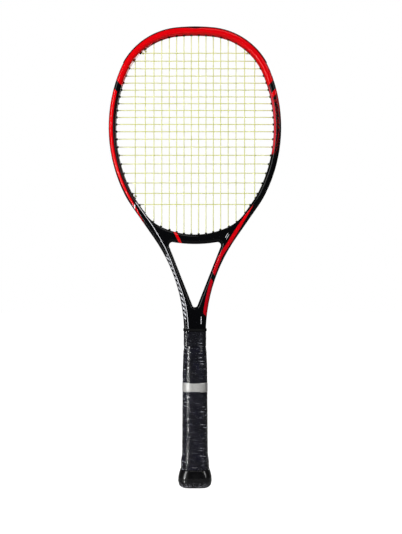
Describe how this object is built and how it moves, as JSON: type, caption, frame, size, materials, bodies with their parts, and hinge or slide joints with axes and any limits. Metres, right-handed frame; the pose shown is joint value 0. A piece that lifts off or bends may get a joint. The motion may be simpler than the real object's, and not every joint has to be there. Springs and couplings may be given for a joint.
{
  "type": "tennis racket",
  "caption": "Strung tennis racket with an oval head, open V throat, wrapped octagonal handle and flared butt cap.",
  "frame": {"origin": "centre of the butt cap's end face", "axes": "+Z along the racket from the butt to the tip, X across the string face, front face towards -Y"},
  "size_m": [0.257, 0.045, 0.6858],
  "materials": {
    "frame_paint": "clear-coated paint, black with red and white panels",
    "pallet_foam": "moulded foam skin",
    "cap_plastic": "satin injection-moulded",
    "badge_plastic": "moulded",
    "staple_steel": "zinc plated",
    "grip_skin": "perforated synthetic skin",
    "tape_vinyl": "vinyl tape",
    "collar_rubber": "soft moulded rubber",
    "clear_film": "wrinkled clear film",
    "band_paper": "silver-white coated paper",
    "grommet_nylon": "moulded nylon",
    "string_poly": "co-polyester monofilament"
  },
  "bodies": {
    "racket": {"hairpin_frame": "frame_paint", "throat_bridge": "frame_paint", "handle_pallet": "pallet_foam", "butt_cap": "cap_plastic", "butt_cap_badge": "badge_plastic", "butt_cap_staples": "staple_steel", "grip_start_staple": "staple_steel", "base_grip": "grip_skin", "finishing_tape": "tape_vinyl", "grip_film": "clear_film", "label_band": "band_paper", "bumper_guard": "grommet_nylon", "grommet_strip_left": "grommet_nylon", "grommet_strip_right": "grommet_nylon", "lower_grommet_left": "grommet_nylon", "lower_grommet_right": "grommet_nylon", "bridge_grommet": "grommet_nylon", "main_string": "string_poly", "cross_string": "string_poly", "tie_off_knots": "string_poly"},
    "collar": {"grip_collar": "collar_rubber"}
  },
  "joints": [
    {"name": "collar_slide", "type": "slide", "parent": "racket", "child": "collar", "axis": [0, 0, 1], "range_m": [0, 0.008]}
  ]
}
